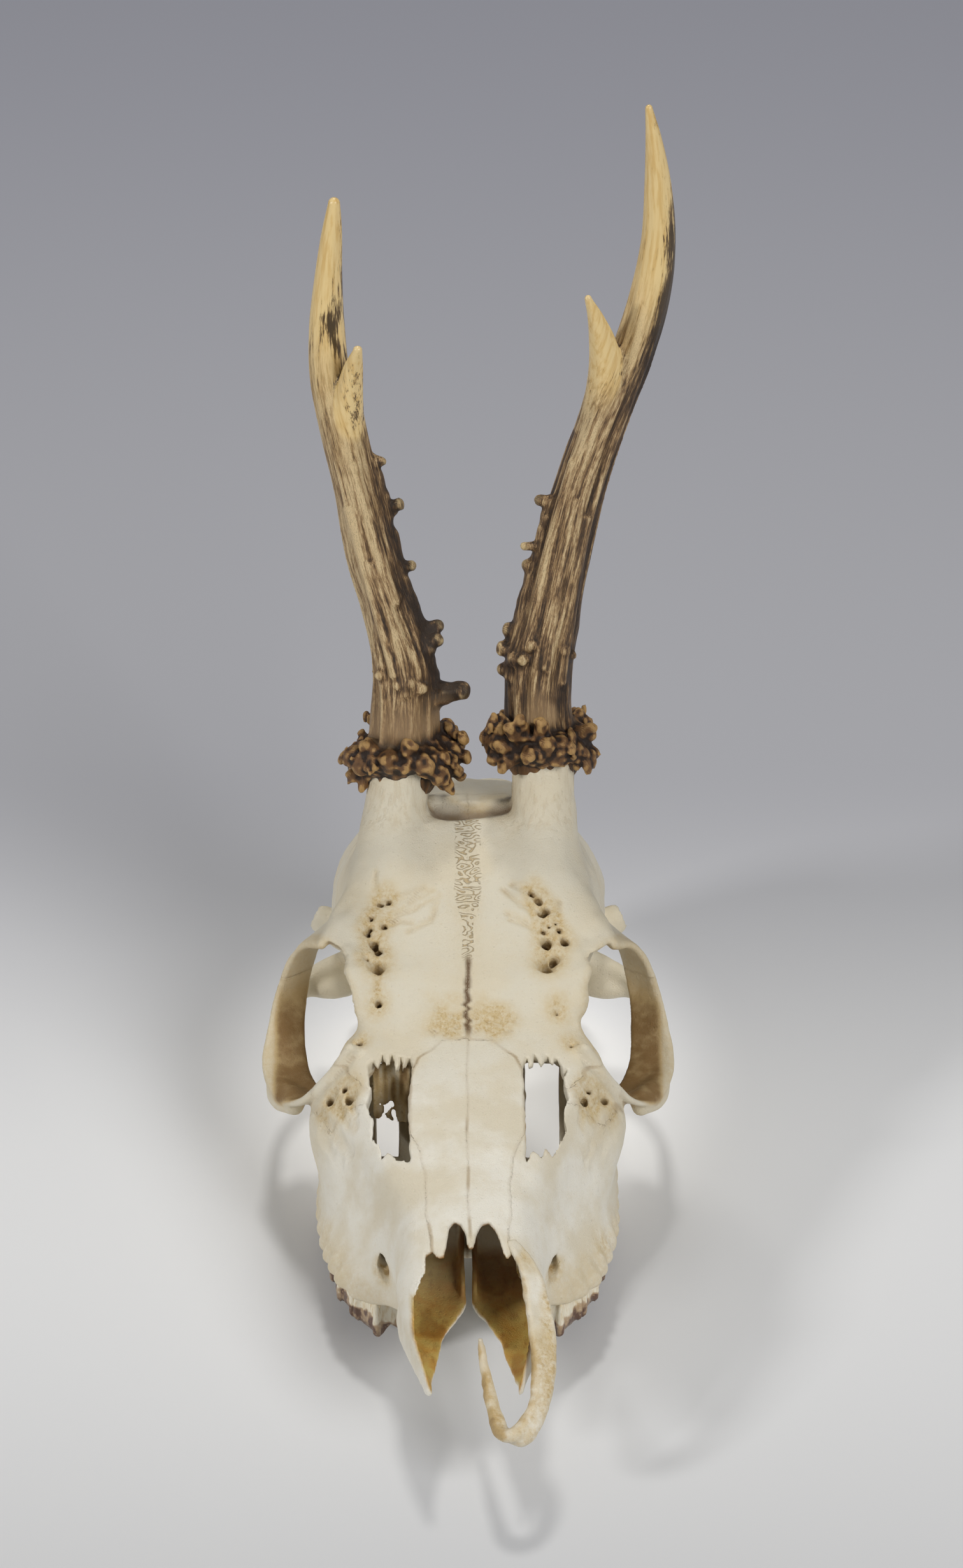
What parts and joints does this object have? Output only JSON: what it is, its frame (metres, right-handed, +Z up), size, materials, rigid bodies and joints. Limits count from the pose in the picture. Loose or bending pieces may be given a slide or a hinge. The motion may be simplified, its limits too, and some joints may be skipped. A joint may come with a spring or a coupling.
{
  "type": "roe deer skull with antlers",
  "caption": "Skull of a young roe buck with both antlers on their pedicles, without lower jaw and with one premaxilla lost, resting level on its last cheek teeth and the processes behind the ears",
  "frame": {"origin": "on the surface the skull rests on, under the middle of its bounding box", "axes": "+Z up at rest, the face towards -Y, the deer's left side towards +X"},
  "size_m": [0.093, 0.1922, 0.2333],
  "materials": {
    "bone": "dry cleaned bone, ivory white, low sheen, tan stains at sutures and openings",
    "bone_yellowed": "thin yellowed bone with brown streaks",
    "antler": "ridged antler, dark brown in the grooves, tan on the ridges, pale polished knobs",
    "antler_tip": "smooth antler, tan with brown streaks, polished to ivory at the points"
  },
  "bodies": {
    "root": {"nasal_left": "bone", "nasal_right": "bone", "frontal_left": "bone", "frontal_right": "bone", "zygomatic_left": "bone", "zygomatic_right": "bone", "lacrimal_left": "bone", "lacrimal_right": "bone", "maxilla_left": "bone", "maxilla_right": "bone", "braincase": "bone", "premaxilla_left": "bone_yellowed", "turbinate_right": "bone_yellowed", "antler_left_beam": "antler", "antler_left_top": "antler_tip", "antler_left_front_tine": "antler_tip", "antler_right_beam": "antler", "antler_right_top": "antler_tip", "antler_right_front_tine": "antler_tip"}
  },
  "joints": []
}
